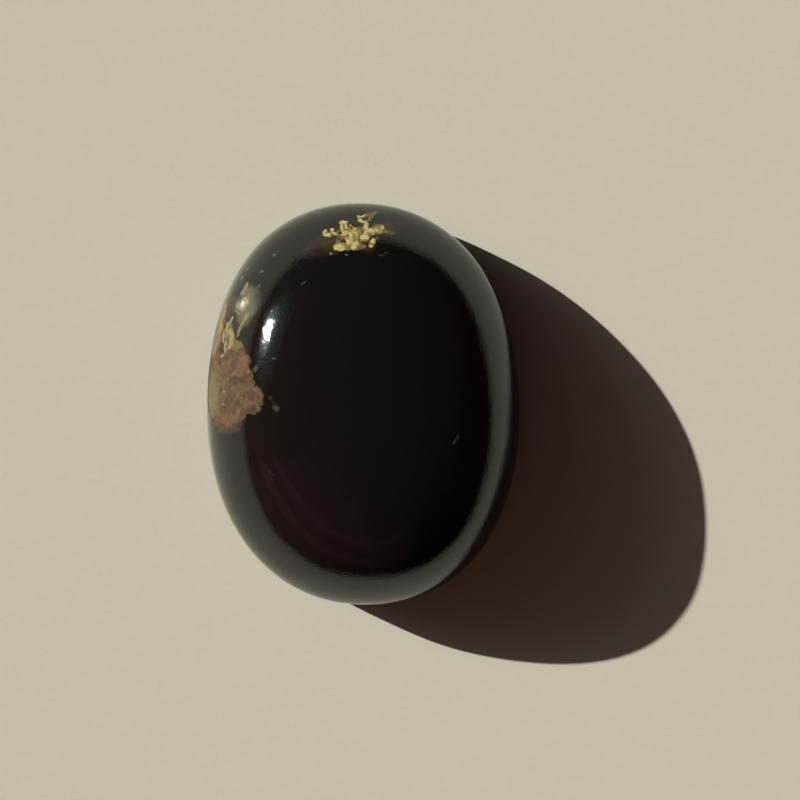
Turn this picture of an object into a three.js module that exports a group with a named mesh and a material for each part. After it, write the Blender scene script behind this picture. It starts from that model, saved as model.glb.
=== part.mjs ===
// Agate stone: one tumbled and polished pebble of dark agate, a low lopsided dome on an upright
// edge that turns under to a nearly flat underside.
// Millimetres, +Z up, +Y along the stone's length and +X across it. The origin is on the surface
// that the stone rests on, under the middle of its outline.

import * as THREE from "three";
import { mergeVertices } from "three/addons/utils/BufferGeometryUtils.js";

// ---- Driving dimensions ----

// The girdle is the widest line round the stone, where the dome meets the underside.
const LENGTH = 45; // along Y
const WIDTH = 35; // along X
const GIRDLE_HEIGHT = 4.4; // at the middle of the stone
const GIRDLE_SLOPE = new THREE.Vector2(0.04, -0.03); // it climbs towards +X and -Y
const OUTLINE_TURN = THREE.MathUtils.degToRad(1.8);

// The dome's crest lies off the middle of the outline, so one flank is longer and softer.
const DOME_RISE = 13.8; // from the girdle to the crest
const CREST = new THREE.Vector2(-6, 2.4);

// Powers of the rounded curves: 2 is an ellipse, and more is fuller.
const OUTLINE_POWER = 2.2;
const DOME_POWER = 2.9; // how far out the dome stays before it turns down
const UNDERSIDE_POWER = 4; // an upright edge that turns under in good time

// Tumbling leaves the outline a little lumpy: shares of the radius, with three and four swellings.
const THREE_LOBES = -0.005;
const FOUR_LOBES = 0.004;

// The worn flat under the stone, as a share of the outline.
const FLAT_SHARE = 0.3;

// Facets
const AROUND = 96;
const DOME_RINGS = 24;
const UNDERSIDE_RINGS = 10;

// ---- The girdle's outline ----

// Distance from the middle to the outline in the direction of an angle from +X.
function outlineRadius(angle) {
  const turned = angle - OUTLINE_TURN;
  const across = Math.abs(Math.cos(turned) / (WIDTH / 2)) ** OUTLINE_POWER;
  const along = Math.abs(Math.sin(turned) / (LENGTH / 2)) ** OUTLINE_POWER;
  const lumps = THREE_LOBES * Math.sin(3 * angle) + FOUR_LOBES * Math.sin(4 * angle);
  return (across + along) ** (-1 / OUTLINE_POWER) * (1 + lumps);
}

// ---- The stone's section ----

// The section in shares, as the profile of a turned blank: x is the share of the way out to the
// girdle, and y runs from -1 at the flat, through 0 at the girdle, to 1 at the crest.
function sectionShares() {
  const profile = [new THREE.Vector2(0, -1)];
  for (let ring = 0; ring < UNDERSIDE_RINGS; ring++) {
    const t = (Math.PI / 2) * (1 - ring / UNDERSIDE_RINGS);
    const out = Math.cos(t) ** (2 / UNDERSIDE_POWER);
    const down = Math.sin(t) ** (2 / UNDERSIDE_POWER);
    profile.push(new THREE.Vector2(FLAT_SHARE + (1 - FLAT_SHARE) * out, -down));
  }
  for (let ring = 0; ring < DOME_RINGS; ring++) {
    const t = (Math.PI / 2) * (ring / DOME_RINGS);
    profile.push(new THREE.Vector2(Math.cos(t) ** (2 / DOME_POWER), Math.sin(t)));
  }
  profile.push(new THREE.Vector2(0, 1));
  return profile;
}

// ---- From the turned blank to the pebble ----

// Moves a point of the blank, of radius 1 and heights -1 to 1, to its place on the stone.
function placeOnStone(point) {
  const share = Math.hypot(point.x, point.y);
  const angle = Math.atan2(point.y, point.x);
  const radius = outlineRadius(angle);
  const girdle = new THREE.Vector2(radius * Math.cos(angle), radius * Math.sin(angle));
  const level = point.z;
  if (level < 0) {
    // The underside falls from the girdle, wherever that is here, to the flat at height 0.
    const girdleHeight = GIRDLE_HEIGHT + GIRDLE_SLOPE.dot(girdle);
    point.set(share * girdle.x, share * girdle.y, girdleHeight * (1 + level));
    return;
  }
  // The dome closes in on its crest as it rises, and leans with the girdle.
  const place = CREST.clone().lerp(girdle, share);
  const height = GIRDLE_HEIGHT + DOME_RISE * level + GIRDLE_SLOPE.dot(place);
  point.set(place.x, place.y, height);
}

function pebbleGeometry() {
  const blank = new THREE.LatheGeometry(sectionShares(), AROUND);
  blank.rotateX(Math.PI / 2); // the lathe turns round Y, and the stone stands on Z
  blank.deleteAttribute("normal");
  blank.deleteAttribute("uv");
  const stone = mergeVertices(blank);

  const positions = stone.getAttribute("position");
  const point = new THREE.Vector3();
  for (let i = 0; i < positions.count; i++) {
    point.fromBufferAttribute(positions, i);
    placeOnStone(point);
    positions.setXYZ(i, point.x, point.y, point.z);
  }

  // The middle of the outline goes over the origin, and the flat to height 0.
  stone.computeBoundingBox();
  const middle = stone.boundingBox.getCenter(new THREE.Vector3());
  stone.translate(-middle.x, -middle.y, -stone.boundingBox.min.z);
  stone.computeVertexNormals();
  return stone;
}

// ---- Material and model ----

// Near-black brown chalcedony with a glassy polish.
const polishedAgate = new THREE.MeshStandardMaterial({ color: 0x17100d, roughness: 0.1, metalness: 0 });

const agateStone = new THREE.Mesh(pebbleGeometry(), polishedAgate);
agateStone.name = "agate_stone";

const model = new THREE.Group();
model.add(agateStone);

export default model;
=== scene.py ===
# %% [markdown]
# # A polished agate pebble
#
# This lesson dresses one small natural object: a tumbled agate, 45 mm long, lying on pale paper in low
# sunlight. The real thing is a single piece of chalcedony, almost black, with two places where other
# minerals grew into it: a yellow mossy tuft at one end, and a tan patch with golden threads on the left
# flank.
#
# The lesson goes: frame, camera, blank, where the minerals lie, relief, finish, paper, light. The frame
# is in metres with +Z up. The stone's length runs along Y and it stands on Z = 0.

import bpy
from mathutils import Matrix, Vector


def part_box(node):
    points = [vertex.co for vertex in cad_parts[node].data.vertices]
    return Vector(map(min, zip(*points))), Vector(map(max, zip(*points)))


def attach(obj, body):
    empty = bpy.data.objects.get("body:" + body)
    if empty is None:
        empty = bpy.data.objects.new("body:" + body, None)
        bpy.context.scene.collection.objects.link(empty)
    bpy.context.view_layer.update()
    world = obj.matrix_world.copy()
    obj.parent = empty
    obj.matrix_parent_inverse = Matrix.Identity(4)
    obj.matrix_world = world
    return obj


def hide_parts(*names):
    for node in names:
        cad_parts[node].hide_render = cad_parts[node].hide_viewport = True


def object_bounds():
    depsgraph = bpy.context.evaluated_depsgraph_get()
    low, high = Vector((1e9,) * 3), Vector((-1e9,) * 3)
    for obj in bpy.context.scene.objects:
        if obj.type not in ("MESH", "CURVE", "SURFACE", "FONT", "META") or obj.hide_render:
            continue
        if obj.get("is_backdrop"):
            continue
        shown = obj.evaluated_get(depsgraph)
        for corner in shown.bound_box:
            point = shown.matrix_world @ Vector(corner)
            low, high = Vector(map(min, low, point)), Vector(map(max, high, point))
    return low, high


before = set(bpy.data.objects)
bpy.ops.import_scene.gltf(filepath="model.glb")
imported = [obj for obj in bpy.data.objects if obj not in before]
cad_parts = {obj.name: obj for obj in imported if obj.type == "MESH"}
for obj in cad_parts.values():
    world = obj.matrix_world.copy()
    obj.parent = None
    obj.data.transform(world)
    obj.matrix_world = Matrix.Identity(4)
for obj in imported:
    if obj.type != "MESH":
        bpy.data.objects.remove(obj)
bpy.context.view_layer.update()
cad_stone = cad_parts["agate_stone"]

# %% [markdown]
# ## Small helpers
#
# Sizes below are real sizes in millimetres, so `MM` turns them to Blender's metres. Colours are written
# as the sRGB hex values a paint chip would show. Blender mixes light in linear numbers, so one function
# turns one into the other.
#
# Everything is deselected at the start, because an operator works on whatever is selected, and loading
# the frame leaves its pieces selected.

# %% Units, colours and selection
import math

import bpy
import numpy as np
from mathutils import Matrix, Vector

MM = 0.001


def linear(hex_code):
    """An sRGB hex colour as the linear red, green, blue and alpha that a shader works in."""
    shares = [int(hex_code[i:i + 2], 16) / 255 for i in (1, 3, 5)]
    return tuple(s / 12.92 if s <= 0.04045 else ((s + 0.055) / 1.055) ** 2.4 for s in shares) + (1.0,)


scene = bpy.context.scene
bpy.ops.object.select_all(action="DESELECT")
print("middle grey in linear numbers:", [round(c, 3) for c in linear("#808080")])

# %% [markdown]
# ## The camera
#
# A small stone is looked at from above, a hand's width away, through a long lens, so its sides hardly
# converge. The camera leans a few degrees to the left and to the far side of straight down, and the stone
# lies a little left of the middle of the square picture.
#
# The picture's up is the stone's length, +Y. Near straight down, Blender's usual aiming uses Z as up and
# would roll the camera, so the three axes are built by hand: back, right and up.

# %% Camera
SENSOR_WIDTH = 36 * MM
LENS = 99 * MM
CAMERA_DISTANCE = 251.9 * MM
AIM = Vector((4.63, -0.04, 0)) * MM
LEAN_LEFT, LEAN_FAR = 0.0977, 0.0891

camera_data = bpy.data.cameras.new("camera")
camera = bpy.data.objects.new("camera", camera_data)
scene.collection.objects.link(camera)
scene.camera = camera
camera_data.sensor_width = SENSOR_WIDTH / MM
camera_data.lens = LENS / MM
camera_data.clip_start, camera_data.clip_end = 0.01, 20

back = Vector((-LEAN_LEFT, LEAN_FAR, 1)).normalized()
right = Vector((0, 1, 0)).cross(back).normalized()
camera.location = AIM + back * CAMERA_DISTANCE
camera.rotation_euler = Matrix((right, back.cross(right), back)).transposed().to_euler()
print("camera height above the paper, mm:", round(camera.location.z / MM, 1))

# %% [markdown]
# ## The blank
#
# A tumbled stone is smooth all over and has no pole or seam, so its mesh should have none either. A UV
# sphere pinches at two poles, and a reflection shows that at once. A cube cut into a grid and pressed
# round gives even, square cells instead, with only eight quiet corners.
#
# The CAD stone already has the right shape, in flat facets. The round cube starts outside it and falls
# onto it with Shrinkwrap, and Subdivision Surface then rounds the facets off. Two levels leave cells of
# about 0.7 mm. Shrinkwrap can search for a near place or shoot a ray. The ray is used, straight in
# towards the middle, because it gives the same place every time. The object's scale is applied only
# afterwards, so that to Shrinkwrap the round cube is still a ball and every ray points at its middle.

# %% Round cube laid onto the CAD stone
CAGE_CUTS = 11
CAGE_OVERSIZE = 1.4


def apply_modifier(piece, kind, name, **settings):
    """Adds a modifier with its settings and applies it at once."""
    added = piece.modifiers.new(name, kind)
    for key, value in settings.items():
        setattr(added, key, value)
    bpy.context.view_layer.objects.active = piece
    bpy.ops.object.modifier_apply(modifier=added.name)


stone_low, stone_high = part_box("agate_stone")
bpy.ops.mesh.primitive_cube_add(size=2)
stone = bpy.context.object
stone.name = "agate_pebble"
bpy.ops.object.mode_set(mode="EDIT")
bpy.ops.mesh.select_all(action="SELECT")
bpy.ops.mesh.subdivide(number_cuts=CAGE_CUTS)
bpy.ops.transform.tosphere(value=1.0)
bpy.ops.object.mode_set(mode="OBJECT")
stone.scale = (stone_high - stone_low) / 2 * CAGE_OVERSIZE
stone.location = (stone_low + stone_high) / 2
apply_modifier(stone, "SHRINKWRAP", "onto the CAD stone", target=cad_stone, wrap_method="PROJECT",
               use_positive_direction=False, use_negative_direction=True)
bpy.ops.object.transform_apply(location=True, rotation=True, scale=True)
apply_modifier(stone, "SUBSURF", "round the facets", levels=2, render_levels=2)
print("blank:", len(stone.data.polygons), "faces")

# %% [markdown]
# ## Slow form
#
# Three slow changes of form are put on the blank, each too gentle to be seen as such. What shows is how
# they bend the edges of the reflections.
#
# - Tumbling never makes a perfect form, so swells about 9 mm apart and a few hundredths of a millimetre
#   high cover the whole stone, apart from the flat place that it rests on.
# - Tumbling leaves a stone's shoulders fuller than a smooth curve would have them. The skin just above
#   the widest line is moved out by a fifth of a millimetre, and the wall below it stands steeper.
# - The moss is softer than agate and wears down faster, so it lies in a wide, shallow dish.
#
# A Displace modifier moves each vertex along its normal. A vertex group says where, and how much.

# %% Swells, shoulders and the dish
FOOT_HEIGHT = 0.8
SWELL_SIZE, SWELL_HEIGHT = 9.0, 0.10
SHOULDER_HEIGHT = 0.20
# how far a normal points up where the shoulder starts, and where it is full
SHOULDER_START, SHOULDER_FULL = 0.60, 0.25
DISH_MIDDLE, DISH_RADIUS, DISH_DEPTH = (-1.5, 18.7), 4.0, 0.16


def points_in_mm(piece):
    """Every vertex of a piece, in millimetres."""
    flat = np.empty(len(piece.data.vertices) * 3)
    piece.data.vertices.foreach_get("co", flat)
    return flat.reshape(-1, 3) / MM


def ease(value):
    """0 below 0, 1 above 1, and a slope without corners between."""
    share = np.clip(value, 0, 1)
    return share * share * (3 - 2 * share)


def paint_group(piece, name, weights):
    """A vertex group that holds each vertex with its weight, where that is above zero."""
    group = piece.vertex_groups.new(name=name)
    for index in np.flatnonzero(weights > 0.001):
        group.add([int(index)], float(weights[index]), "REPLACE")
    print("vertices in", name, "-", int((weights > 0.001).sum()))


def ruffle(piece, name, feature, height, group):
    """Moves the skin by cloud noise with features of one size in mm, over a full height in mm."""
    texture = bpy.data.textures.new(name, "CLOUDS")
    texture.noise_scale = feature * MM
    texture.noise_depth = 1
    apply_modifier(piece, "DISPLACE", name, texture=texture, texture_coords="LOCAL", direction="NORMAL",
                   mid_level=0.5, strength=height * MM, vertex_group=group)


blank_points = points_in_mm(stone)
upward = np.array([vertex.normal.z for vertex in stone.data.vertices])
from_dish = np.hypot(blank_points[:, 0] - DISH_MIDDLE[0], blank_points[:, 1] - DISH_MIDDLE[1])
shoulder = ease((SHOULDER_START - upward) / (SHOULDER_START - SHOULDER_FULL)) * ease(upward / SHOULDER_FULL)
paint_group(stone, "off the foot", ease((blank_points[:, 2] - FOOT_HEIGHT / 2) / FOOT_HEIGHT))
paint_group(stone, "shoulder", shoulder)
paint_group(stone, "dish", ease(1 - from_dish / DISH_RADIUS) * (upward > 0))
ruffle(stone, "swells", SWELL_SIZE, SWELL_HEIGHT, "off the foot")
for name, height in (("shoulder", SHOULDER_HEIGHT), ("dish", -DISH_DEPTH)):
    apply_modifier(stone, "DISPLACE", name, direction="NORMAL", mid_level=0.0, strength=height * MM,
                   vertex_group=name)
slow_moves = np.abs(points_in_mm(stone) - blank_points)
print("slow form moved the skin by up to, mm:", round(float(slow_moves.max()), 3))

# %% [markdown]
# ## Where the minerals lie
#
# In a real agate the moss and the tan patch are lumps inside the stone, cut open by its skin. The same
# idea serves here: each lump is an ellipsoid with its middle on the skin. Where the skin passes through
# it, the mineral shows, and it wraps round the flank by itself.
#
# Each lump is written as seen from above: how far across (X) and along (Y) from the stone's middle, half
# its length, half its width, and how far its length is turned from X, in millimetres and degrees.
#
# Moss agate owes its tuft to fine needles of iron-bearing mineral that grew in branches. Seen from above
# it is a heap of yellow crumbs: a little ring at the left, a stem and a twig that reach for the end of
# the stone, and an arm at the right.

# %% Lumps of the mossy tuft
MOSS_CRUST = {
    "ring": (-4.30, 19.20, 0.65, 0.42, 10),
    "link": (-3.35, 19.15, 0.40, 0.15, 15),
    "upright lobe": (-2.60, 19.75, 0.75, 0.36, 88),
    "lobe cap": (-2.65, 20.30, 0.45, 0.20, 4),
    "lobe foot": (-2.60, 19.25, 0.45, 0.40, 0),
    "bead row": (-1.75, 19.80, 0.35, 0.20, -30),
    "middle": (-1.65, 19.15, 0.90, 0.65, 10),
    "heart": (-2.05, 18.45, 0.50, 0.60, 85),
    "stem": (-0.20, 19.80, 0.80, 0.30, 85),
    "right mass": (-0.55, 18.85, 0.58, 0.50, 0),
    "shoulder": (0.25, 19.35, 0.55, 0.40, 0),
    "arm": (0.95, 19.60, 0.60, 0.40, 10),
    "arm block": (1.50, 19.80, 0.35, 0.30, 0),
    "arm foot": (1.35, 19.35, 0.60, 0.18, -5),
    "crown side": (-0.85, 20.75, 0.38, 0.20, -88),
    "crown face": (-0.65, 20.50, 0.35, 0.20, -30),
    "twig": (-0.20, 21.05, 0.70, 0.11, 20),
    "twig edge": (0.40, 20.80, 0.45, 0.10, 55),
    "twig end": (0.90, 21.30, 0.35, 0.08, 30),
    "post": (-3.30, 18.30, 0.40, 0.20, -84),
    "left mass": (-3.15, 17.75, 0.75, 0.45, -3),
    "lower mass": (-1.60, 17.95, 0.62, 0.48, 76),
    "lower bead": (-0.80, 17.80, 0.35, 0.20, -15),
    "right lobe": (0.35, 18.15, 0.58, 0.28, 68),
}
MOSS_BED = {
    "under the lobes": (-2.55, 19.35, 1.00, 0.60, 60),
    "middle": (-1.15, 19.00, 1.50, 0.95, 0),
    "under the arm": (0.70, 19.40, 1.10, 0.40, 10),
    "bottom": (-1.70, 18.00, 1.30, 0.60, 0),
}
MOSS_SADDLE = {
    "left saddle": (-2.40, 17.75, 0.40, 0.42, 85),
}
MOSS_DIM = {
    "link": (-3.30, 19.15, 0.45, 0.22, 15),
    "twig": (0.30, 21.10, 0.60, 0.20, 25),
    "twig edge": (0.45, 20.85, 0.50, 0.15, 55),
    "twig end": (0.90, 21.30, 0.40, 0.14, 30),
    "post": (-3.30, 18.35, 0.40, 0.24, -84),
    "lower bead": (-0.80, 17.80, 0.45, 0.30, -15),
    "arm top": (1.15, 19.95, 0.50, 0.18, 0),
    "ring": (-4.30, 19.20, 0.60, 0.36, 10),
    "under the lower mass": (-1.35, 17.60, 0.50, 0.15, 15),
}
# paler crests of the moss: partly their own paler tone, partly painted light where the sun lights them
MOSS_PALE_AND_LIT = {
    "ring foot": (-4.45, 19.00, 0.40, 0.15, 8),
    "ring bead": (-3.85, 19.55, 0.20, 0.18, 0),
    "ring side": (-3.65, 19.15, 0.27, 0.14, -15),
    "ring edge": (-4.65, 19.35, 0.24, 0.11, 70),
    "lobe cap": (-2.55, 20.35, 0.50, 0.15, 4),
    "lobe side": (-2.85, 19.85, 0.45, 0.12, 89),
    "lobe ridge": (-2.35, 19.95, 0.30, 0.11, 89),
    "small bead": (-1.45, 19.65, 0.20, 0.13, -10),
    "middle spot": (-1.50, 19.25, 0.22, 0.10, 10),
    "left face": (-3.35, 17.65, 0.50, 0.32, 0),
    "lower face": (-1.65, 17.85, 0.45, 0.27, 57),
    "lower point": (-1.35, 18.20, 0.15, 0.15, 0),
    "stem face": (-0.20, 19.80, 0.68, 0.18, 86),
    "mass face": (-0.45, 18.75, 0.52, 0.25, 0),
    "shoulder face": (0.20, 19.45, 0.33, 0.20, 0),
    "block face": (1.60, 19.85, 0.20, 0.20, 0),
    "arm glow": (0.90, 19.45, 0.40, 0.12, 14),
    "crown face": (-0.65, 20.50, 0.30, 0.13, -30),
    "crown tip": (-0.90, 20.95, 0.13, 0.13, 0),
    "twig face": (-0.40, 21.00, 0.35, 0.08, 15),
    "lobe face": (0.45, 18.35, 0.33, 0.16, 64),
    "lobe foot": (0.15, 17.80, 0.22, 0.14, 0),
}
MOSS_PEACH = {
    "neck": (-2.50, 19.15, 0.34, 0.30, 0),
    "column": (-2.15, 18.45, 0.54, 0.28, 78),
    "column head": (-1.85, 18.95, 0.20, 0.17, 0),
    "left rim": (-3.00, 17.50, 0.40, 0.17, 15),
    "left mass": (-3.00, 17.80, 0.32, 0.21, 0),
}
# holes of the moss, sunk as pits by the relief; the finish paints them dark brown, which is painted shade in
# the pits
MOSS_HOLES = {
    "ring hole": (-4.20, 19.40, 0.22, 0.12, 85),
    "neck hole": (-3.00, 19.20, 0.14, 0.15, 0),
    "pin hole": (-2.20, 18.95, 0.12, 0.11, 0),
    "post hole": (-3.20, 18.60, 0.15, 0.13, 0),
    "cave": (-2.75, 18.35, 0.36, 0.18, -8),
    "lobe slot": (-2.05, 19.95, 0.14, 0.11, 0),
    "bead gap": (-1.65, 19.80, 0.15, 0.10, -20),
    "stem slot": (-0.60, 20.00, 0.30, 0.12, 86),
    "small slot": (-0.60, 19.25, 0.13, 0.11, 0),
    "middle slot": (-1.10, 18.55, 0.28, 0.09, 10),
    "lobe gap": (0.10, 18.55, 0.26, 0.11, 75),
    "lower gap": (-0.40, 18.15, 0.36, 0.22, 0),
    "twig hollow": (-0.05, 20.85, 0.33, 0.12, 17),
    "left slot": (-4.20, 17.80, 0.34, 0.13, -89),
}
print("lumps of moss:", sum(map(len, (MOSS_CRUST, MOSS_PALE_AND_LIT, MOSS_PEACH, MOSS_HOLES))))

# %% [markdown]
# The flank has more going on. At its top a thin golden seam comes up to the skin and glints. Below it
# lies a bed of golden threads with dark gaps, and below that the tan patch: quartz and clay stained by
# iron, salmon where it meets the dark stone, olive towards the outer edge, with a rusty line at its upper
# right side.

# %% Lumps of the flank
THREADS = {
    "outer tip": (-15.40, 11.15, 0.55, 0.12, 76),
    "outer": (-15.65, 10.15, 0.70, 0.18, 79),
    "outer foot": (-15.95, 9.10, 0.95, 0.30, 81),
    "bed": (-15.25, 8.35, 1.25, 0.50, 85),
    "bed foot": (-15.35, 7.30, 0.75, 0.55, 89),
    "inner": (-14.75, 7.90, 0.95, 0.20, -89),
}
# dark gaps between the threads, the dark stone showing between them; the one under the bead is a painted
# shadow of the bead
THREAD_GAPS = {
    "first": (-15.50, 9.05, 0.32, 0.09, 79),
    "second": (-15.10, 8.95, 0.21, 0.07, 87),
    "third": (-15.15, 8.05, 0.32, 0.07, 84),
    "fourth": (-15.55, 7.55, 0.24, 0.09, 70),
    "fifth": (-15.20, 7.50, 0.19, 0.07, 84),
    "shadow under the bead": (-14.65, 9.30, 0.23, 0.12, 79),
    "inner": (-14.35, 8.60, 0.75, 0.12, 87),
    "outer": (-15.25, 10.75, 0.32, 0.06, 79),
}
THREAD_CAVE = {
    "cave": (-15.90, 6.75, 0.52, 0.24, -87),
}
PATCH = {
    "upper bed": (-15.40, 5.75, 1.15, 1.05, 89),
    "salmon block": (-13.60, 5.35, 0.90, 0.72, 89),
    "middle": (-14.40, 3.75, 1.55, 1.70, 6),
    "inner side": (-13.35, 3.20, 0.95, 0.72, 89),
    "right lobe": (-12.30, 1.65, 1.28, 0.68, -88),
    "lobe tip": (-12.55, 0.35, 0.47, 0.27, 33),
    "lower middle": (-13.90, 1.00, 1.35, 1.15, 5),
    "lower": (-15.15, 0.00, 1.60, 1.30, 9),
    "foot": (-15.70, -1.15, 1.00, 0.70, 11),
    "outer column": (-16.55, 2.35, 4.20, 1.10, 89),
    "outer wall": (-17.00, 3.20, 4.00, 0.60, 89),
    "heart": (-14.60, 2.20, 2.60, 1.60, 89),
    "inner heart": (-13.30, 2.10, 1.30, 0.60, 89),
    "upper strip": (-16.40, 7.75, 1.70, 0.50, 83),
    "under the wedge": (-14.10, 6.45, 0.85, 0.55, 60),
}
PATCH_PITS = {
    "first": (-16.50, 3.15, 0.25, 0.08, -86),
    "second": (-13.65, 1.80, 0.15, 0.08, 90),
    "third": (-15.70, 0.45, 0.14, 0.10, 10),
    "fourth": (-16.00, 2.25, 0.25, 0.08, -81),
}
print("lumps of the flank:", sum(map(len, (THREADS, THREAD_GAPS, THREAD_CAVE, PATCH, PATCH_PITS))))

# %% [markdown]
# ## Two pins and a string
#
# An ellipse can be drawn with two pins and a loop of string: it is every place from which the ways to
# both pins add up to the same length. The lumps are measured like that, in space, because it takes only
# two distances.
#
# `pinned` sets the pins. It looks straight down onto the skin to find a lump's middle and how the skin
# slopes there, and stretches the lump along the slope, so that on the steep flank it is as long on the
# skin as it has to be to look right from above. `depth_inside` measures, for every vertex at once, how
# deep it lies inside the nearest lump. The relief uses it as a brush, and the finish repeats the same sum
# with nodes, so that colour and relief fall in the same places.

# %% Setting the pins and measuring
from mathutils.bvhtree import BVHTree

LOOK_DOWN_FROM = 100
STEEPEST = 0.2

smooth_skin = BVHTree.FromObject(stone, bpy.context.evaluated_depsgraph_get())


def pinned(lumps):
    """Each lump's two pins, half the string, and the gain that makes its middle as deep as it is wide."""
    for across, along, half_length, half_width, turn in lumps.values():
        high_above = Vector((across, along, LOOK_DOWN_FROM)) * MM
        spot, slope, _, _ = smooth_skin.ray_cast(high_above, Vector((0, 0, -1)))
        c, s = math.cos(math.radians(turn)), math.sin(math.radians(turn))
        ways = [Vector((x, y, -(slope.x * x + slope.y * y) / max(slope.z, STEEPEST))) * half
                for x, y, half in ((c, s, half_length), (-s, c, half_width))]
        short_way, long_way = sorted(ways, key=lambda way: way.length)
        reach = math.sqrt(max(long_way.length ** 2 - short_way.length ** 2, 0))
        to_pin = long_way.normalized() * reach
        gain = short_way.length / (long_way.length - reach)
        yield spot / MM + to_pin, spot / MM - to_pin, long_way.length, gain


def depth_inside(points, lumps):
    """How many millimetres each point lies inside the nearest lump: above zero inside, below zero outside."""
    deepest = np.full(len(points), -np.inf)
    for pin, other_pin, half_string, gain in pinned(lumps):
        ways = sum(np.linalg.norm(points - np.array(end), axis=1) for end in (pin, other_pin))
        deepest = np.maximum(deepest, (half_string - ways / 2) * gain)
    return deepest


print("pins of the moss ring, mm:", [tuple(round(c, 2) for c in pin) for pin in next(pinned(MOSS_CRUST))[:2]])

# %% [markdown]
# ## Finer cells where the relief is fine
#
# The pits of the moss are about 0.3 mm wide, and the blank's cells are twice that. Making every cell
# smaller would cost hundreds of thousands of faces for nothing, so only the faces near a mineral are
# subdivided. One more level of Subdivision Surface then halves every cell.

# %% Finer cells under the minerals
FINE_MARGIN = 0.6

form_points = points_in_mm(stone)
near = np.zeros(len(form_points), bool)
for lumps in (MOSS_CRUST, THREADS, PATCH):
    near |= depth_inside(form_points, lumps) > -FINE_MARGIN
bpy.ops.object.mode_set(mode="EDIT")
bpy.ops.mesh.select_mode(type="FACE")
bpy.ops.mesh.select_all(action="DESELECT")
bpy.ops.object.mode_set(mode="OBJECT")
for face in stone.data.polygons:
    face.select = any(near[i] for i in face.vertices)
bpy.ops.object.mode_set(mode="EDIT")
bpy.ops.mesh.subdivide(number_cuts=2, smoothness=1.0)
bpy.ops.object.mode_set(mode="OBJECT")
apply_modifier(stone, "SUBSURF", "halve the cells", levels=1, render_levels=1)
bpy.ops.object.shade_smooth()
print("finer blank:", len(stone.data.polygons), "faces")

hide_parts("agate_stone")
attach(stone, "root")

# %% [markdown]
# ## Relief
#
# Now comes what can be felt with a fingernail: faint ripples all over, and the grain of the minerals
# themselves, raised where they are hard and pitted where they fell out.
#
# Colour has to be measured on the skin as it is now, before the grain moves it in and out of the smallest
# lumps. So each vertex first writes down its smooth place, in millimetres, as an attribute that the
# finish will read.

# %% Smooth places, ripples, grain and pits
# name, size of one feature in mm, full height in mm, vertex group
RELIEF = (
    ("ripples", 2.0, 0.012, "off the foot"),
    ("moss grain", 0.45, 0.18, "moss"),
    ("patch grain", 0.7, 0.03, "patch"),
    ("thread grain", 0.4, 0.06, "threads"),
)
FADE = 0.25
PIT_DEPTH = 0.14

smooth_points = points_in_mm(stone)
smooth_place = stone.data.attributes.new("smooth_place", "FLOAT_VECTOR", "POINT")
smooth_place.data.foreach_set("vector", smooth_points.astype(np.float32).ravel())
broken = np.zeros(len(smooth_points))
for name, families in {
    "moss": (MOSS_CRUST,),
    "patch": (PATCH,),
    "threads": (THREADS,),
    "pits": (MOSS_HOLES, THREAD_GAPS, THREAD_CAVE, PATCH_PITS),
}.items():
    depth = np.max([depth_inside(smooth_points, lumps) for lumps in families], axis=0)
    share = ease(depth / FADE + 0.5)
    if name == "pits":
        share *= broken
    broken = np.maximum(broken, share)
    paint_group(stone, name, share)
for relief in RELIEF:
    ruffle(stone, *relief)
apply_modifier(stone, "DISPLACE", "pits", direction="NORMAL", mid_level=0.0, strength=-PIT_DEPTH * MM,
               vertex_group="pits")
print("relief moved the skin by up to, mm:",
      round(float(np.abs(points_in_mm(stone) - smooth_points).max()), 3))

# %% [markdown]
# ## Finish: the tools
#
# Everything on the stone is one material, because the real stone is one piece: polished chalcedony, with
# the minerals showing in it. It could be several materials on separate faces, but then each mineral would
# end in a saw-toothed line of faces. Nodes that measure the distance to the lumps give an edge as fine as
# wanted.
#
# One small function adds any node. The others below each stand for a pattern, and are made of several
# nodes.

# %% Adding nodes, and the patterns made of them
def add_node(tree, kind, feed=(), out=0, stops=(), **settings):
    """Adds a node with its settings, feeds its inputs with sockets or values, and returns one output."""
    made = tree.nodes.new(kind)
    for name, value in settings.items():
        setattr(made, name, value)
    for key, value in dict(feed).items():
        entry = made.inputs[key] if isinstance(key, int) else next(
            s for s in made.inputs if s.enabled and s.name == key)
        if isinstance(value, bpy.types.NodeSocket):
            tree.links.new(value, entry)
        else:
            entry.default_value = value
    for place, (position, colour) in enumerate(stops):
        ramp = made.color_ramp.elements
        stop = ramp[place] if place < len(ramp) else ramp.new(position)
        stop.position = position
        stop.color = linear(colour)
    outputs = [s for s in made.outputs if s.enabled]
    return outputs[out] if isinstance(out, int) else next(s for s in outputs if s.name == out)


def nearest_lump(tree, where, lumps):
    """Millimetres to the edge of the nearest lump: below zero inside it."""
    nearest = None
    for pin, other_pin, half_string, gain in pinned(lumps):
        way = add_node(tree, "ShaderNodeVectorMath", {0: where, 1: pin}, operation="DISTANCE", out="Value")
        other_way = add_node(tree, "ShaderNodeVectorMath", {0: where, 1: other_pin}, operation="DISTANCE",
                             out="Value")
        string = add_node(tree, "ShaderNodeMath", {0: way, 1: other_way}, operation="ADD")
        edge = add_node(tree, "ShaderNodeMath", {0: string, 1: gain / 2, 2: -half_string * gain},
                        operation="MULTIPLY_ADD")
        nearest = edge if nearest is None else add_node(tree, "ShaderNodeMath", {0: nearest, 1: edge},
                                                        operation="MINIMUM")
    return nearest


def covers(tree, where, lumps, soft, strength=1.0):
    """How much of a mineral shows: `strength` inside its lumps, fading over `soft` mm at their edge."""
    return add_node(tree, "ShaderNodeMapRange", {
        "Value": nearest_lump(tree, where, lumps),
        "From Min": soft / 2, "From Max": -soft / 2, "To Min": 0.0, "To Max": strength,
    }, interpolation_type="SMOOTHSTEP")


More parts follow.
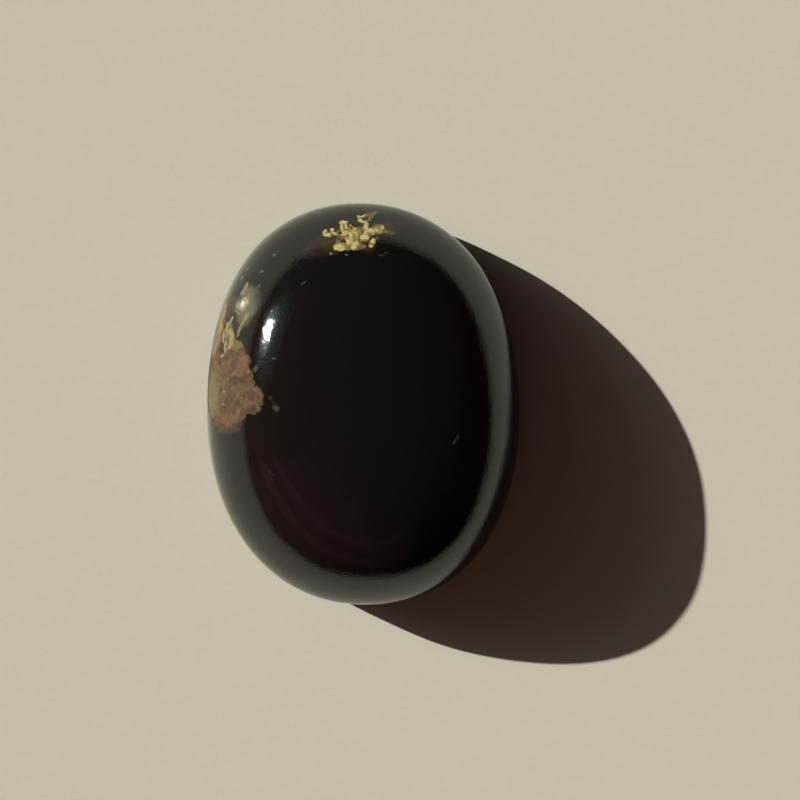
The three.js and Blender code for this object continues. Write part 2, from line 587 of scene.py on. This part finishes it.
def wander(tree, where, per_mm, amount):
    """Pushes places about by noise, up to half of `amount` mm, so that edges drawn with them wander."""
    noise = add_node(tree, "ShaderNodeTexNoise", {"Vector": where, "Scale": per_mm, "Detail": 2.0},
                     out="Color")
    centred = add_node(tree, "ShaderNodeVectorMath", {0: noise, 1: (0.5, 0.5, 0.5)}, operation="SUBTRACT")
    return add_node(tree, "ShaderNodeVectorMath", {0: centred, 1: (amount,) * 3, 2: where},
                    operation="MULTIPLY_ADD")


def noise_share(tree, where, per_mm, low, high, detail=3.0):
    """Noise as a share from 0 to 1, stretched so that `low` becomes 0 and `high` becomes 1."""
    noise = add_node(tree, "ShaderNodeTexNoise", {"Vector": where, "Scale": per_mm, "Detail": detail}, out=0)
    return add_node(tree, "ShaderNodeMapRange", {"Value": noise, "From Min": low, "From Max": high})


# %% [markdown]
# ## Finish: the dark chalcedony
#
# Chalcedony is quartz in fibres too fine to see, and takes a glassy polish in the tumbler. So it is a
# clear, dark-bodied stone with a sharp reflection: an IOR of 1.51, almost that of quartz, and a low
# roughness, since a tumbled skin is a little less than mirror-bright.
#
# An agate grew from the wall of a hollow inwards, layer on layer. Each layer keeps the hollow's form, so
# the bands are shells round one middle. Here the distance from that middle, squeezed across and stretched
# upwards, gives the shells. Two reddish-grey rings come out where they are cut at the lower end, and the
# rest of the stone has bands so faint that they only keep the black from being flat.

# %% Dark body and its bands
BODY, WARM_END, BAND = "#120f0d", "#161110", "#1e1616"
SHELL_MIDDLE, SHELL_SHAPE = (0.0, 6.0, 0.0), (0.6, 1.0, 3.0)
# ring: distance out from the middle and half-width, in millimetres along Y
BAND_RINGS = {"outer": (22.9, 0.9), "inner": (20.8, 0.8)}
BANDED = {
    "lower left": (-6.50, -12.00, 9.00, 4.50, -48),
    "lower end": (1.50, -16.50, 7.00, 3.50, 0),
}

agate = bpy.data.materials.new("polished chalcedony with moss")
agate.use_nodes = True
tree = agate.node_tree
shader = tree.nodes["Principled BSDF"]
shader.inputs["IOR"].default_value = 1.51

place = add_node(tree, "ShaderNodeTexCoord", out="Object")
mm_place = add_node(tree, "ShaderNodeVectorMath", {0: place, "Scale": 1 / MM}, operation="SCALE")
shells = add_node(tree, "ShaderNodeMapping", {
    "Vector": wander(tree, mm_place, 0.14, 1.6), "Location": SHELL_MIDDLE, "Scale": SHELL_SHAPE},
    vector_type="TEXTURE")
shell = add_node(tree, "ShaderNodeVectorMath", {0: shells}, operation="LENGTH", out="Value")
rings = None
for distance, half_width in BAND_RINGS.values():
    off = add_node(tree, "ShaderNodeMath", {0: shell, 1: distance}, operation="SUBTRACT")
    off = add_node(tree, "ShaderNodeMath", {0: off}, operation="ABSOLUTE")
    ring = add_node(tree, "ShaderNodeMapRange", {"Value": off, "From Min": half_width, "From Max": 0.0},
                    interpolation_type="SMOOTHSTEP")
    rings = ring if rings is None else add_node(tree, "ShaderNodeMath", {0: rings, 1: ring},
                                                operation="MAXIMUM")
banded = covers(tree, mm_place, BANDED, 6.0)
clear_bands = add_node(tree, "ShaderNodeMath", {0: rings, 1: banded}, operation="MULTIPLY")
fine_bands = add_node(tree, "ShaderNodeTexNoise", {"W": shell, "Scale": 0.9, "Detail": 2.0}, out=0,
                      noise_dimensions="1D")
fine_share = add_node(tree, "ShaderNodeMapRange", {"Value": fine_bands, "From Min": 0.45, "From Max": 0.7})
faint_bands = add_node(tree, "ShaderNodeMath", {
    0: fine_share, 1: noise_share(tree, mm_place, 0.11, 0.45, 1.6)}, operation="MULTIPLY")
colour = linear(BODY)
for share, hex_code in ((banded, WARM_END), (faint_bands, BAND), (clear_bands, BAND)):
    colour = add_node(tree, "ShaderNodeMix", {"Factor": share, "A": colour, "B": linear(hex_code)},
                      data_type="RGBA")
print("rings cut at the lower end, mm from the middle of the stone:",
      [round(distance - SHELL_MIDDLE[1], 1) for distance, _ in BAND_RINGS.values()])

# %% [markdown]
# ## Finish: laying one mineral over another
#
# From here on the work is that of a painter: a colour goes over the one before, where its lumps are. Each
# line of the tables below is one such layer: its name, colour, lumps, the width of its soft edge in
# millimetres, its strength, and the places it is measured in. Those places are of three kinds: plain ones
# for hairlines, firm ones whose edges shake a little, and loose ones for stains and lumps with a ragged
# edge.

# %% Places to measure in, and the layers' one rule
plain = add_node(tree, "ShaderNodeAttribute", out="Vector", attribute_name="smooth_place")
firm = wander(tree, plain, 3.0, 0.32)
loose = wander(tree, wander(tree, plain, 0.8, 0.9), 2.2, 0.35)


def lay_over(tree, under, layers):
    """Lays each layer of a table over the colour before it, and returns the last colour."""
    for name, hex_code, lumps, soft, strength, where in layers:
        under = add_node(tree, "ShaderNodeMix", {
            "Factor": covers(tree, where, lumps, soft, strength), "A": under, "B": linear(hex_code),
        }, data_type="RGBA", label=name)
    return under


print("nodes so far:", len(tree.nodes))

# %% [markdown]
# ## Finish: the moss
#
# The tuft is iron-stained clay, mustard yellow with paler crests, peach where it is thickest, and brown
# in its holes. The paler crests are partly their own tone and partly painted light, lighter where the sun
# lights them; the dark of the holes is painted shade; and a few glints on its edges are painted in. An
# olive stain spreads round it under the skin. The crust itself is a run of three yellows on fine noise, so
# no two crumbs are alike.

# %% Moss colours
MOSS_STAIN = {
    "left": (-4.30, 18.00, 0.90, 0.60, -4),
    "lower left": (-3.85, 17.20, 0.75, 0.32, 0),
    "right": (-0.30, 17.80, 0.76, 0.53, 0),
    "arm top": (1.35, 20.05, 0.70, 0.27, 5),
    "crown side": (-1.20, 20.40, 0.15, 0.50, -80),
}
MOSS_TAIL = {
    "green tail": (2.25, 19.30, 0.65, 0.25, -12),
}
MOSS_RUST = {
    "arm end": (2.30, 19.90, 0.60, 0.38, -10),
}
# glints painted into the base colour, where the sun catches the edges of small pits in the moss
MOSS_PAINTED_GLINTS = {
    "right": (0.95, 18.65, 0.17, 0.10, -10),
    "low left": (-4.20, 17.00, 0.20, 0.12, -20),
    "low middle": (-2.55, 16.90, 0.21, 0.08, -10),
}
TOP_HAZE = {
    "top left": (-5.10, 17.80, 2.40, 0.95, 20),
}
UNDER_THE_MOSS = (
    ("brown haze", "#271f1b", TOP_HAZE, 1.6, 0.8, loose),
    ("olive stain", "#33290c", MOSS_STAIN, 1.2, 0.8, loose),
    ("green tail", "#4e4e2c", MOSS_TAIL, 0.6, 0.8, firm),
    ("rusty end", "#3a2815", MOSS_RUST, 1.0, 0.8, loose),
    ("yellow bed", "#635829", MOSS_BED, 0.5, 0.9, loose),
)
ON_THE_MOSS = (
    ("olive saddle", "#5f5226", MOSS_SADDLE, 0.35, 0.85, firm),
    ("dim crumbs", "#615733", MOSS_DIM, 0.25, 0.85, firm),
    ("peach", "#b7a36c", MOSS_PEACH, 0.30, 0.75, firm),
    ("pale crests", "#b0a770", MOSS_PALE_AND_LIT, 0.16, 0.85, firm),
    ("painted shade in the brown holes", "#3a2606", MOSS_HOLES, 0.14, 0.90, firm),
    ("glints", "#6f6960", MOSS_PAINTED_GLINTS, 0.2, 0.80, firm),
)
CRUST_YELLOWS = ((0.0, "#4f431b"), (0.35, "#736832"), (0.65, "#8a8046"), (1.0, "#a69d64"))

colour = lay_over(tree, colour, UNDER_THE_MOSS)
crust = add_node(tree, "ShaderNodeValToRGB", {0: noise_share(tree, mm_place, 3.2, 0.32, 0.68)},
                 stops=CRUST_YELLOWS)
moss_share = covers(tree, firm, {**MOSS_CRUST, **MOSS_SADDLE}, 0.22)
colour = add_node(tree, "ShaderNodeMix", {"Factor": moss_share, "A": colour, "B": crust}, data_type="RGBA")
colour = lay_over(tree, colour, ON_THE_MOSS)
print("layers on the moss:", len(UNDER_THE_MOSS) + 1 + len(ON_THE_MOSS))

# %% [markdown]
# ## Finish: the seam
#
# High on the left flank a seam of goethite, a golden iron mineral, lies just under the polish. It is seen
# through a little chalcedony, so its edges are soft and a broad khaki glow surrounds it, greenish at the
# right and mauve at the left. That glow is partly the seam's colour and partly painted light: sunlight
# scattered in the translucent stone. Beside the sun's reflection a bluish-grey sheen is painted on. One
# facet faces the light, and its glint is painted in, almost white, with three short stripes above it.

# %% Seam colours
SEAM_MAUVE = {
    "upper left": (-14.80, 11.30, 0.95, 0.45, 80),
}
# the seam's khaki under the skin, partly its own colour and partly painted light: sunlight scattered in the
# translucent stone round it
SEAM_GLOW = {
    "upper": (-13.20, 12.00, 1.45, 0.57, 82),
    "lower": (-13.40, 10.65, 1.28, 0.60, 74),
    "left": (-14.00, 11.50, 0.65, 0.30, 86),
}
# a bluish-grey sheen painted beside the sun's reflection, lighter than the dark stone under it
SEAM_PAINTED_SHEEN = {
    "right": (-12.30, 12.00, 1.40, 0.45, 84),
}
SEAM_GREEN = {
    "right veil": (-12.70, 11.60, 1.25, 0.27, 84),
}
SEAM_WEDGE = {
    "tip": (-13.20, 13.40, 0.55, 0.14, 65),
    "foot": (-13.55, 12.75, 0.33, 0.18, 60),
    "side": (-13.00, 12.00, 0.63, 0.10, 86),
    "left face": (-14.10, 11.35, 0.41, 0.17, -87),
    "loop": (-14.10, 10.60, 0.30, 0.10, -32),
    "tail": (-13.25, 10.25, 0.47, 0.20, 65),
    "lower tail": (-13.60, 9.65, 0.50, 0.12, 59),
    "end": (-14.00, 8.80, 0.49, 0.12, 72),
    "last": (-14.15, 8.30, 0.24, 0.10, 75),
}
SEAM_VEIL = {
    "veil": (-13.55, 11.55, 0.63, 0.35, 84),
}
SEAM_LINES = {
    "first": (-14.20, 10.95, 0.15, 0.06, 24),
    "second": (-14.00, 10.80, 0.17, 0.06, -27),
    "under the wedge": (-13.35, 12.45, 0.36, 0.08, 0),
    "between the stripes": (-13.40, 12.00, 0.20, 0.05, -45),
}
SEAM_STRIPES = {
    "first": (-13.35, 12.15, 0.16, 0.07, -44),
    "second": (-13.20, 11.90, 0.18, 0.07, -41),
    "third": (-13.05, 11.75, 0.13, 0.06, -39),
}
# a glint painted into the base colour, near white, where one facet of the seam catches the sun
SEAM_PAINTED_GLINT = {
    "glint": (-13.60, 11.55, 0.32, 0.15, 86),
}
SEAM_LAYERS = (
    ("mauve side", "#2e1f1f", SEAM_MAUVE, 1.6, 0.9, loose),
    ("painted grey sheen", "#3d3e38", SEAM_PAINTED_SHEEN, 2.4, 0.9, loose),
    ("khaki glow", "#5d5641", SEAM_GLOW, 3.0, 1.0, loose),
    ("green veil", "#565a4a", SEAM_GREEN, 2.4, 0.6, loose),
    ("wedge", "#6f6a53", SEAM_WEDGE, 0.45, 0.85, firm),
    ("bright veil", "#8f8a72", SEAM_VEIL, 1.1, 0.9, firm),
    ("dark lines", "#4c4630", SEAM_LINES, 0.2, 0.75, plain),
    ("stripes", "#97917b", SEAM_STRIPES, 0.20, 0.8, plain),
    ("glint", "#bdb69f", SEAM_PAINTED_GLINT, 0.45, 1.0, firm),
)
colour = lay_over(tree, colour, SEAM_LAYERS)
print("layers on the seam:", len(SEAM_LAYERS))

# %% [markdown]
# ## Finish: the tan patch and the threads
#
# The patch has no polish of its own: its grains broke out in the tumbler and left it matt, so its
# roughness goes to 1. It is a run of browns on noise of about a millimetre, with olive and salmon laid
# over, a few cream grains, and dark joints. A finer noise then makes it all a fifth lighter or darker
# from grain to grain, because a broken face is never one flat tone. The threads are needles of goethite
# that stand along the flank. Noise stretched along the needles gives them.

# %% Patch colours
PATCH_OLIVE = {
    "outer": (-16.60, 2.65, 3.65, 0.80, 89),
    "green": (-15.90, 4.60, 0.80, 0.72, 11),
    "middle": (-14.40, 2.35, 0.95, 0.37, 6),
}
PATCH_SALMON = {
    "block": (-13.70, 5.40, 0.80, 0.58, 89),
    "under block": (-14.20, 4.35, 0.57, 0.42, 5),
    "lower": (-15.25, -0.70, 0.92, 0.52, 19),
    "low middle": (-13.40, 1.15, 0.72, 0.48, -6),
    "lobe heart": (-12.50, 1.95, 0.42, 0.27, 90),
}
PATCH_PALE = {
    "outer upper": (-16.60, 6.65, 0.95, 0.28, 87),
    "outer lower": (-16.95, 1.60, 2.40, 0.45, 89),
}
PATCH_SHADE = {
    "dark olive": (-14.60, 3.55, 0.48, 0.38, 6),
    "lobe joint": (-12.80, 2.30, 0.23, 0.33, 90),
    "notch": (-12.90, 0.40, 0.30, 0.18, 28),
    "under the hook": (-16.10, 5.30, 0.36, 0.21, 89),
}
PATCH_PINK = {
    "upper strip": (-16.45, 7.50, 1.60, 0.45, 84),
}
PATCH_FRINGE = {
    "below": (-15.40, -1.80, 1.20, 0.50, 10),
    "inner": (-14.20, -0.60, 0.80, 0.50, 30),
}
PATCH_RUST = {
    "line": (-13.00, 5.35, 0.68, 0.16, -86),
    "line foot": (-12.90, 4.20, 0.36, 0.12, 80),
    "vein": (-13.60, 4.25, 0.48, 0.06, 38),
}
PATCH_CREAM = {
    "spot": (-13.10, 4.50, 0.22, 0.12, 70),
    "first": (-16.50, 5.00, 0.15, 0.08, 80),
    "second": (-16.25, 4.70, 0.16, 0.09, 63),
    "third": (-15.70, 2.15, 0.12, 0.10, 10),
    "fourth": (-14.80, 2.65, 0.16, 0.08, 16),
    "fifth": (-15.75, 0.75, 0.12, 0.11, 10),
    "sixth": (-13.85, 1.75, 0.24, 0.09, -49),
}
ON_THE_PATCH = (
    ("olive side", "#53482d", PATCH_OLIVE, 2.2, 0.65, loose),
    ("salmon", "#5f4631", PATCH_SALMON, 1.6, 0.80, loose),
    ("pale edge", "#665b43", PATCH_PALE, 2.4, 0.80, loose),
    ("pink edge", "#6e5c4b", PATCH_PINK, 1.4, 0.85, loose),
    ("dark joints", "#35260f", PATCH_SHADE, 1.0, 0.65, loose),
    ("rust", "#47230a", PATCH_RUST, 0.45, 0.75, firm),
    ("cream grains", "#6f5f47", PATCH_CREAM, 0.25, 0.75, firm),
    ("pits", "#2c200e", PATCH_PITS, 0.25, 0.70, firm),
)
MOTTLE_DARK, MOTTLE_LIGHT = 0.78, 1.22
PATCH_BROWNS = ((0.0, "#3f2f1a"), (0.4, "#483722"), (0.7, "#523f2a"), (1.0, "#5f4d37"))

browns = add_node(tree, "ShaderNodeValToRGB", {0: noise_share(tree, loose, 1.3, 0.32, 0.68, 5.0)},
                  stops=PATCH_BROWNS)
browns = lay_over(tree, browns, ON_THE_PATCH)
patch_mottle = add_node(tree, "ShaderNodeMapRange", {"Value": noise_share(tree, plain, 2.2, 0.32, 0.68, 4.0),
                                                     "To Min": MOTTLE_DARK, "To Max": MOTTLE_LIGHT})
browns = add_node(tree, "ShaderNodeMix", {"Factor": 1.0, "A": browns, "B": patch_mottle}, data_type="RGBA",
                  blend_type="MULTIPLY")
patch_share = covers(tree, loose, PATCH, 0.8)
colour = lay_over(tree, colour, (("rosy fringe", "#3e2f27", PATCH_FRINGE, 2.0, 0.85, loose),))
colour = add_node(tree, "ShaderNodeMix", {"Factor": patch_share, "A": colour, "B": browns}, data_type="RGBA")
print("layers on the patch:", len(ON_THE_PATCH))

# %% Thread colours
THREAD_PALE = {
    "crest": (-15.25, 9.10, 0.46, 0.10, 70),
    "outer crest": (-15.65, 10.15, 0.60, 0.08, 79),
    "inner crest": (-14.80, 7.90, 0.73, 0.08, -89),
    "middle crest": (-15.00, 8.70, 0.41, 0.08, -81),
    "outer tip": (-15.35, 11.20, 0.38, 0.07, 76),
    "foot crest": (-15.40, 7.30, 0.40, 0.10, 62),
}
THREAD_BEAD = {
    "bead": (-14.75, 9.90, 0.33, 0.13, 65),
    "hook": (-15.50, 6.50, 0.31, 0.09, -84),
    "hook foot": (-15.80, 5.90, 0.27, 0.08, 39),
}
KHAKI_WEDGE = {
    "wedge": (-14.30, 7.20, 0.56, 0.54, 5),
    "upper": (-14.60, 7.65, 0.32, 0.18, 79),
}
ON_THE_THREADS = (
    ("pale crests", "#7f7456", THREAD_PALE, 0.25, 0.85, firm),
    ("bead and hook", "#7d7260", THREAD_BEAD, 0.28, 0.85, firm),
    ("gaps", "#2e2308", THREAD_GAPS, 0.22, 0.85, firm),
    ("cave", "#3c2c0d", THREAD_CAVE, 0.35, 0.9, firm),
)
THREAD_GOLDS = ((0.0, "#53462a"), (0.5, "#726341"), (1.0, "#837452"))
# the needles are squeezed across, drawn out along, and lean a few degrees
NEEDLE_LEAN, NEEDLE_SHAPE = math.radians(-6), (3.5, 0.5, 1.1)

needles = add_node(tree, "ShaderNodeMapping", {"Vector": firm, "Rotation": (0, 0, NEEDLE_LEAN),
                                               "Scale": NEEDLE_SHAPE})
golds = add_node(tree, "ShaderNodeValToRGB", {0: noise_share(tree, needles, 1.0, 0.34, 0.66, 2.0)},
                 stops=THREAD_GOLDS)
thread_share = covers(tree, firm, THREADS, 0.4)
colour = lay_over(tree, colour, (("khaki wedge", "#5f5336", KHAKI_WEDGE, 0.5, 0.9, loose),))
colour = add_node(tree, "ShaderNodeMix", {"Factor": thread_share, "A": colour, "B": golds}, data_type="RGBA")
colour = lay_over(tree, colour, ON_THE_THREADS)
print("layers on the threads:", 2 + len(ON_THE_THREADS))

# %% [markdown]
# ## Finish: small marks
#
# No tumbled stone is spotless. Beside the patch lie two crumbs of the same mineral on a thread, and a
# bluish one; pale flecks are scattered over the shoulder, and the skin has a few short scratches, two
# nicks and a chip.

# %% Crumbs, flecks, scratches and nicks
CRUMBS = {
    "near crumb": (-10.90, 1.80, 0.21, 0.18, 2),
    "far crumb": (-10.30, 0.70, 0.42, 0.36, -19),
}
CRUMB_LINK = {
    "link": (-10.60, 1.35, 0.33, 0.11, -55),
}
BLUE_CRUMB = {
    "blue crumb": (-12.45, 4.80, 0.33, 0.24, -81),
}
FLECKS = {
    "first": (-13.00, 15.25, 0.20, 0.09, 55),
    "second": (-11.50, 15.05, 0.17, 0.12, 59),
    "third": (-13.55, 14.30, 0.22, 0.08, 64),
    "fourth": (-12.65, 13.35, 0.12, 0.07, 3),
    "fifth": (-10.10, 16.85, 0.17, 0.12, 58),
    "sixth": (-10.45, 6.00, 0.21, 0.10, -14),
    "seventh": (-11.80, 13.55, 0.19, 0.09, 78),
    "by the tail": (2.60, 19.15, 0.18, 0.10, 0),
    "right": (9.00, -3.00, 0.58, 0.12, 56),
    "right head": (9.25, -2.60, 0.21, 0.16, 80),
}
SCRATCHES = {
    "upper": (-7.20, 13.95, 0.36, 0.10, 41),
    "by the moss": (1.15, 16.80, 0.43, 0.08, -4),
    "past the moss": (1.75, 17.05, 0.24, 0.07, 0),
}
CHIP = {
    "chip": (-10.60, -6.40, 0.27, 0.22, -29),
    "chip foot": (-10.70, -7.00, 0.30, 0.18, 0),
}
NICKS = {
    "beside the chip": (-10.95, -6.15, 0.26, 0.09, 81),
    "lower right": (12.60, -13.85, 0.16, 0.13, -13),
}
MARKS = (
    ("crumb link", "#2a2320", CRUMB_LINK, 0.3, 0.8, firm),
    ("crumbs", "#443e37", CRUMBS, 0.5, 0.9, loose),
    ("blue crumb", "#413e40", BLUE_CRUMB, 0.5, 0.9, loose),
    ("flecks", "#514e46", FLECKS, 0.25, 0.85, firm),
    ("scratches", "#393231", SCRATCHES, 0.25, 0.85, firm),
    ("chip", "#25201d", CHIP, 0.4, 0.8, loose),
    ("nicks", "#0c0907", NICKS, 0.2, 0.8, plain),
)
colour = lay_over(tree, colour, MARKS)
tree.links.new(colour, shader.inputs["Base Color"])
print("marks:", sum(len(lumps) for _, _, lumps, _, _, _ in MARKS))

# %% [markdown]
# ## Finish: polish
#
# Two things make the polish. Roughness is low on the chalcedony and 1 where the minerals broke out. And
# the skin is not quite even: it has an orange peel of low waves about 0.8 mm long, and the hair-fine wear
# of the tumbler's grit, far too low for the mesh. The real wear is finer than 0.05 mm and would not show,
# so it is drawn 0.2 mm apart. A Bump node tilts the reflection by both, which gives the bright edges
# their beads and the sun's reflection its sparkling border.

# %% Roughness and orange peel
POLISHED, BROKEN = 0.042, 1.0
PEEL_WAVE, PEEL_HEIGHT = 0.8, 0.015
WEAR_WAVE, WEAR_HEIGHT = 0.2, 0.014
# the share of mineral at which the polish starts to break, and at which it is gone: close together, because a
# half-rough border would mirror the sun as a pale line
POLISH_ENDS, BROKEN_STARTS = 0.42, 0.58

rough_share = moss_share
for share in (patch_share, thread_share, covers(tree, plain, NICKS, 0.14)):
    rough_share = add_node(tree, "ShaderNodeMath", {0: rough_share, 1: share}, operation="MAXIMUM")
roughness = add_node(tree, "ShaderNodeMapRange", {
    "Value": rough_share, "From Min": POLISH_ENDS, "From Max": BROKEN_STARTS,
    "To Min": POLISHED, "To Max": BROKEN})
tree.links.new(roughness, shader.inputs["Roughness"])
peel = add_node(tree, "ShaderNodeTexNoise", {"Vector": mm_place, "Scale": 1 / PEEL_WAVE, "Detail": 3.0,
                                             "Roughness": 0.62}, out=0)
wear = add_node(tree, "ShaderNodeTexNoise", {"Vector": mm_place, "Scale": 1 / WEAR_WAVE, "Detail": 1.0},
                out=0)
skin_height = add_node(tree, "ShaderNodeMath", {0: wear, 1: WEAR_HEIGHT / PEEL_HEIGHT, 2: peel},
                       operation="MULTIPLY_ADD")
skin_normal = add_node(tree, "ShaderNodeBump", {"Height": skin_height, "Strength": 1.0,
                                                "Distance": PEEL_HEIGHT * MM})
tree.links.new(skin_normal, shader.inputs["Normal"])
stone.data.materials.append(agate)
print("nodes in the finish:", len(tree.nodes))

# %% [markdown]
# ## The paper
#
# The stone lies on a sheet of soft, uncoated cream paper. It is matt, with no shine at all, and its
# fibres show as a faint mottle and a tooth that can just be felt. The sheet is made wide enough to reach
# past every edge of the picture, and it is only the stage, not a part of the object.

# %% Paper
PAPER_SIZE = 4
PAPER_CREAM, PAPER_SHADE = linear("#d8d6c3"), linear("#d5d3c0")
FIBRE_PER_MM, TOOTH = 1.6, 0.006

bpy.ops.object.select_all(action="DESELECT")
bpy.ops.mesh.primitive_plane_add(size=PAPER_SIZE)
paper = bpy.context.object
paper.name = "paper"
cream_paper = bpy.data.materials.new("uncoated cream paper")
cream_paper.use_nodes = True
sheet = cream_paper.node_tree
paper_shader = sheet.nodes["Principled BSDF"]
paper_shader.inputs["Roughness"].default_value = 0.9
paper_shader.inputs["Specular IOR Level"].default_value = 0.0
paper_place = add_node(sheet, "ShaderNodeTexCoord", out="Object")
paper_mm = add_node(sheet, "ShaderNodeVectorMath", {0: paper_place, "Scale": 1 / MM}, operation="SCALE")
fibres = noise_share(sheet, paper_mm, FIBRE_PER_MM, 0.3, 0.7, 4.0)
mottle = add_node(sheet, "ShaderNodeMix", {"Factor": fibres, "A": PAPER_SHADE, "B": PAPER_CREAM},
                  data_type="RGBA")
sheet.links.new(mottle, paper_shader.inputs["Base Color"])
tooth = add_node(sheet, "ShaderNodeBump", {"Height": fibres, "Strength": 1.0, "Distance": TOOTH * MM})
sheet.links.new(tooth, paper_shader.inputs["Normal"])
paper.data.materials.append(cream_paper)
paper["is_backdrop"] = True
print("paper, m:", PAPER_SIZE)

# %% [markdown]
# ## Light
#
# One low, sharp light from the upper left gives the glint, the long shadow and the warm flank. It is a
# Sun lamp, because its rays are parallel and its disc is half a degree wide, as the shadow's crisp edge
# asks for.
#
# A polished dark stone shows mostly what is round it. The grey rim is the paper, mirrored at a flat
# angle. The dark middle is the room, mirrored from above, and so the room must be dim. It is built from
# five broad glows on black, each strongest in one direction and falling off around it.

# %% Sun
SUN_AZIMUTH, SUN_HEIGHT = 26.1, 25.3
SUN_COLOUR = (5.40, 5.22, 5.05)
SUN_DISC = 0.53

azimuth, height = math.radians(SUN_AZIMUTH), math.radians(SUN_HEIGHT)
to_sun = Vector((-math.cos(azimuth) * math.cos(height), math.sin(azimuth) * math.cos(height),
                 math.sin(height)))
sun_data = bpy.data.lights.new("sun", "SUN")
sun_data.energy = max(SUN_COLOUR)
sun_data.angle = math.radians(SUN_DISC)
sun_data.color = [c / max(SUN_COLOUR) for c in SUN_COLOUR]
sun = bpy.data.objects.new("sun", sun_data)
scene.collection.objects.link(sun)
sun.rotation_euler = to_sun.to_track_quat("Z", "Y").to_euler()
print("shadow of the stone, mm:", round((stone_high.z / MM) / math.tan(height), 1))

# %% Dim room
WINDOW_EDGE, WINDOW_HEART = math.cos(math.radians(23)), math.cos(math.radians(8))
WINDOW_ABOVE_SUN = 0.12
HAZE_EDGE = math.cos(math.radians(12))
# direction, the part of it that is lit (from, to, as a cosine), how fast it falls off, radiance
GLOWS = {
    "near left wall": ((-0.85, -0.45, 0.25), 0.0, 1.0, 1.0, (0.088, 0.0325, 0.014)),
    "ceiling": ((0, 0, 1), 0.0, 1.0, 2.0, (0.028, 0.0225, 0.025)),
    "window": (to_sun + Vector((0, 0, WINDOW_ABOVE_SUN)), WINDOW_EDGE, WINDOW_HEART, 1.0, (0.23, 0.37, 0.36)),
    "haze round the sun": (to_sun, HAZE_EDGE, 1.0, 2.0, (4.4, 4.9, 4.8)),
    "right wall": ((1, 0.1, 0.25), 0.2, 1.0, 3.0, (0.041, 0.0135, 0.0043)),
}
WALL_SEEN = "#c2bca8"

room = bpy.data.worlds.new("dim room")
scene.world = room
room.use_nodes = True
sky = room.node_tree
looking = add_node(sky, "ShaderNodeTexCoord", out="Generated")
light = (0.0, 0.0, 0.0)
for name, (direction, low, high, fall, radiance) in GLOWS.items():
    facing = add_node(sky, "ShaderNodeVectorMath", {0: looking, 1: Vector(direction).normalized()},
                      operation="DOT_PRODUCT", out="Value")
    share = add_node(sky, "ShaderNodeMapRange", {"Value": facing, "From Min": low, "From Max": high})
    share = add_node(sky, "ShaderNodeMath", {0: share, 1: fall}, operation="POWER")
    glow = add_node(sky, "ShaderNodeVectorMath", {0: radiance, "Scale": share}, operation="SCALE")
    light = add_node(sky, "ShaderNodeVectorMath", {0: light, 1: glow}, operation="ADD", label=name)
# a camera that looks past the paper sees a plain pale wall
seen = add_node(sky, "ShaderNodeLightPath", out="Is Camera Ray")
wall = add_node(sky, "ShaderNodeMix", {"Factor": seen, "A": light, "B": linear(WALL_SEEN)}, data_type="RGBA")
sky.links.new(wall, sky.nodes["Background"].inputs["Color"])
scene.view_settings.view_transform = "Standard"
print("glows in the room:", len(GLOWS))

# %% [markdown]
# ## Sizes and the end
#
# The dressed stone has to stay inside the CAD stone's box, so its box is printed.

# %% Write the sizes and finish
low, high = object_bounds()
print("visual box, mm:", [round(side * 1000, 2) for side in high - low])
